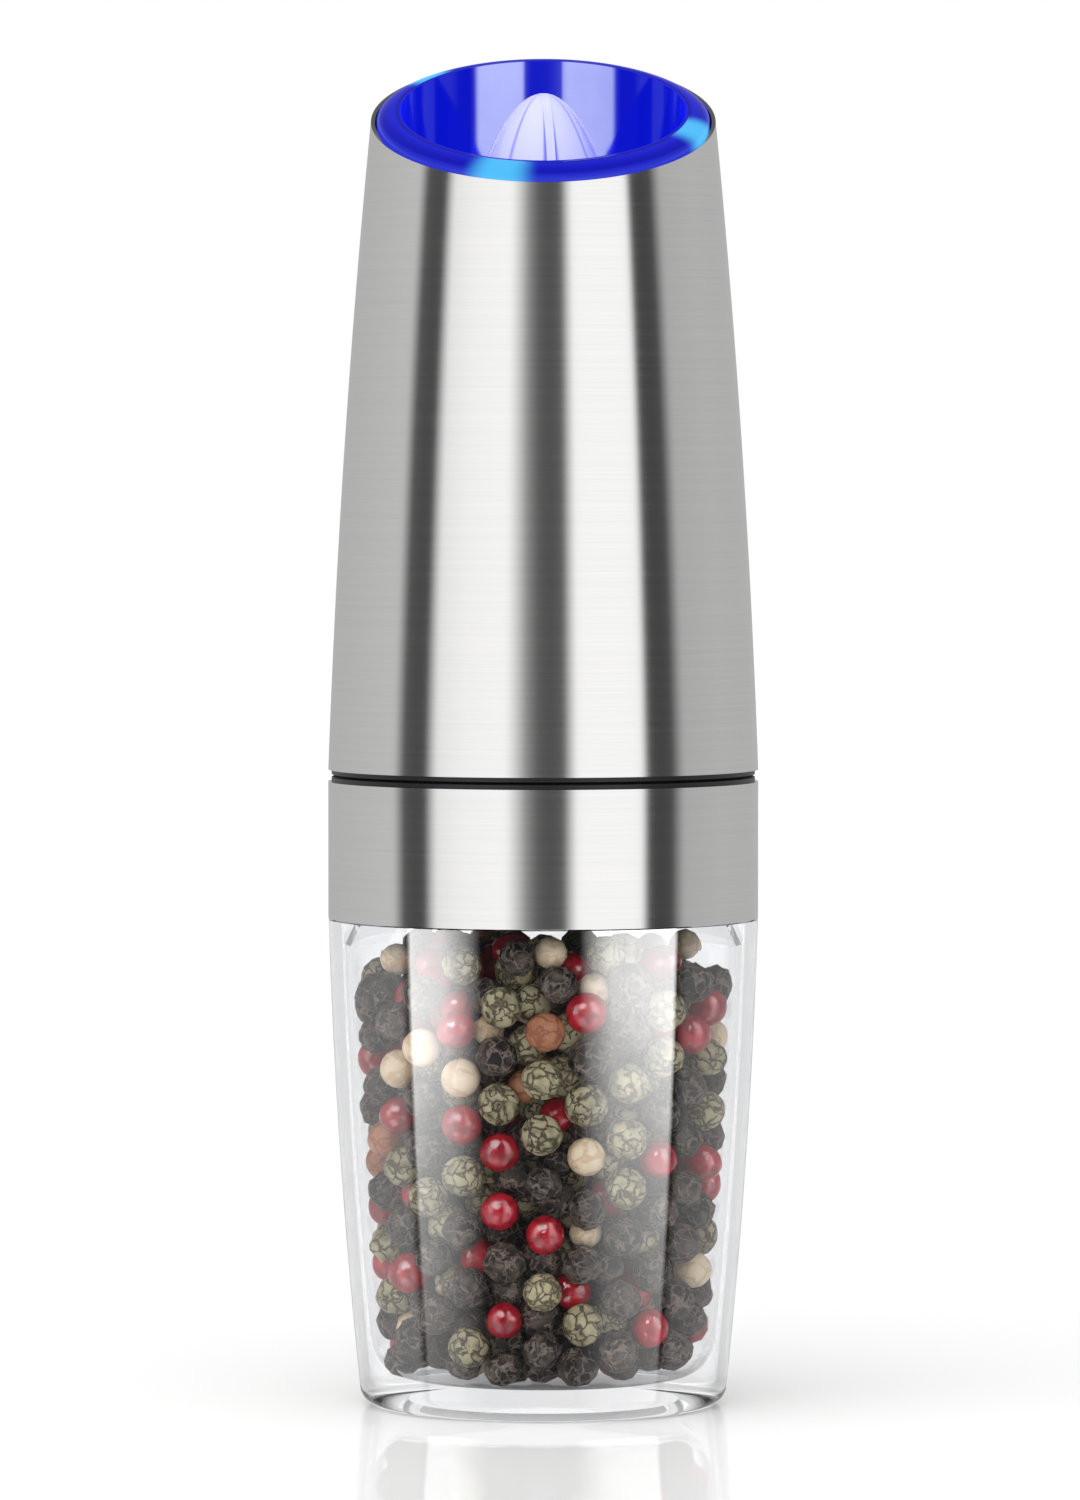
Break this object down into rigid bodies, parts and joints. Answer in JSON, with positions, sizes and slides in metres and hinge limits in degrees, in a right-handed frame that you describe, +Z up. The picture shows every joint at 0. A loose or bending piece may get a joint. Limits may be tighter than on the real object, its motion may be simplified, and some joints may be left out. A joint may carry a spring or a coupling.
{
  "type": "electric pepper mill",
  "caption": "Gravity-start electric pepper mill: clear jar at the foot, steel grinder band, tapered steel sleeve over motor and cells, slanted mouth with a lit ring.",
  "frame": {"origin": "centre of the jar's foot, on the surface that the mill stands on", "axes": "+Z up along the mill's axis; -Y is the front, where the slanted mouth is lowest; +X is to the right seen from the front"},
  "size_m": [0.0654, 0.0654, 0.2058],
  "materials": {
    "brushed_steel": "brushed round the axis",
    "clear_jar": "clear, polished",
    "peppercorns": "dry, wrinkled",
    "silicone": "matt",
    "black_plastic": "fine moulded texture",
    "burr_ceramic": "fired, unglazed",
    "zinc_steel": "zinc plated",
    "shaft_steel": "ground",
    "spring_steel": "nickel plated",
    "brass": "machined",
    "copper": "enamelled wire",
    "gear_plastic": "moulded",
    "magnet": "sintered",
    "wire_red": "insulated wire",
    "cell_jacket": "plain printed jacket",
    "board_green": "lacquered board",
    "strip_white": "flexible strip",
    "led_blue": "clear resin, lit",
    "light_ring": "frosted, lit blue",
    "clear_mouth": "translucent, lit from below"
  },
  "bodies": {
    "jar": {"pepper_jar": "clear_jar", "peppercorn_fill": "peppercorns"},
    "neck_seal": {"jar_seal": "silicone"},
    "chassis": {"steel_band": "brushed_steel", "grinder_housing": "black_plastic", "burr_stator": "burr_ceramic", "housing_screws": "zinc_steel", "ring_gear": "gear_plastic", "gearbox_cover": "black_plastic", "shaft_bush": "brass", "motor_plate": "zinc_steel", "motor_screws": "zinc_steel", "motor_can": "zinc_steel", "motor_end_bell": "gear_plastic", "motor_magnets": "magnet", "motor_bearings": "brass", "motor_brushes": "brass", "motor_terminals": "brass", "motor_leads": "wire_red", "motor_housing": "black_plastic", "battery_cage": "black_plastic", "battery_cells": "cell_jacket", "battery_springs": "spring_steel", "contact_plates": "spring_steel", "control_board": "board_green", "board_parts": "black_plastic", "tilt_switch": "zinc_steel", "outlet_funnel": "clear_mouth", "funnel_screws": "zinc_steel", "led_strip": "strip_white", "led_chips": "led_blue", "light_ring": "light_ring", "discharge_cone": "clear_mouth"},
    "motor_rotor": {"motor_shaft": "shaft_steel", "sun_pinion": "brass", "armature": "magnet", "armature_windings": "copper", "commutator": "copper"},
    "drive": {"drive_shaft": "shaft_steel", "planet_carrier": "brass", "planet_pins": "shaft_steel", "rotor_spring": "spring_steel"},
    "planet_1": {"planet_gear_1": "gear_plastic"},
    "planet_2": {"planet_gear_2": "gear_plastic"},
    "planet_3": {"planet_gear_3": "gear_plastic"},
    "burr": {"burr_rotor": "burr_ceramic"},
    "knob": {"grind_knob": "black_plastic"},
    "ball": {"tilt_ball": "brass"},
    "seam_ring": {"lock_ring": "black_plastic"},
    "sleeve": {"steel_sleeve": "brushed_steel", "sleeve_collar": "black_plastic"}
  },
  "joints": [
    {"name": "jar_twist", "type": "hinge", "parent": "jar", "child": "neck_seal", "pos_m": [0, 0, 0.0845], "axis": [0, 0, 1], "range_deg": [0, 45]},
    {"name": "jar_lift", "type": "slide", "parent": "neck_seal", "child": "chassis", "axis": [0, 0, 1], "range_m": [0, 0.05]},
    {"name": "sleeve_twist", "type": "hinge", "parent": "chassis", "child": "seam_ring", "pos_m": [0, 0, 0.096], "axis": [0, 0, 1], "range_deg": [0, 30]},
    {"name": "sleeve_lift", "type": "slide", "parent": "seam_ring", "child": "sleeve", "axis": [0, 0, 1], "range_m": [0, 0.115]},
    {"name": "motor_spin", "type": "hinge", "parent": "chassis", "child": "motor_rotor", "pos_m": [0, 0, 0.126], "axis": [0, 0, 1], "continuous": true},
    {"name": "drive_spin", "type": "hinge", "parent": "chassis", "child": "drive", "pos_m": [0, 0, 0.104], "axis": [0, 0, 1], "continuous": true},
    {"name": "planet_1_spin", "type": "hinge", "parent": "drive", "child": "planet_1", "pos_m": [0.00675, 0, 0.1082], "axis": [0, 0, 1], "continuous": true},
    {"name": "planet_2_spin", "type": "hinge", "parent": "drive", "child": "planet_2", "pos_m": [-0.00337, 0.00585, 0.1082], "axis": [0, 0, 1], "continuous": true},
    {"name": "planet_3_spin", "type": "hinge", "parent": "drive", "child": "planet_3", "pos_m": [-0.00337, -0.00585, 0.1082], "axis": [0, 0, 1], "continuous": true},
    {"name": "burr_slide", "type": "slide", "parent": "drive", "child": "burr", "axis": [0, 0, 1], "range_m": [0, 0.000937], "deforming": ["rotor_spring"]},
    {"name": "grind_adjust", "type": "hinge", "parent": "burr", "child": "knob", "pos_m": [0, 0, 0.083], "axis": [0, 0, 1], "range_deg": [0, 270]},
    {"name": "ball_roll", "type": "slide", "parent": "chassis", "child": "ball", "axis": [0, 0, 1], "range_m": [0, 0.004]}
  ],
  "couplings": [
    {"joint": "drive_spin", "follows": "motor_spin", "ratio": 0.2},
    {"joint": "planet_1_spin", "follows": "motor_spin", "ratio": -0.53333},
    {"joint": "planet_2_spin", "follows": "motor_spin", "ratio": -0.53333},
    {"joint": "planet_3_spin", "follows": "motor_spin", "ratio": -0.53333},
    {"joint": "grind_adjust", "follows": "burr_slide", "rad_per_m": 5026.5}
  ]
}
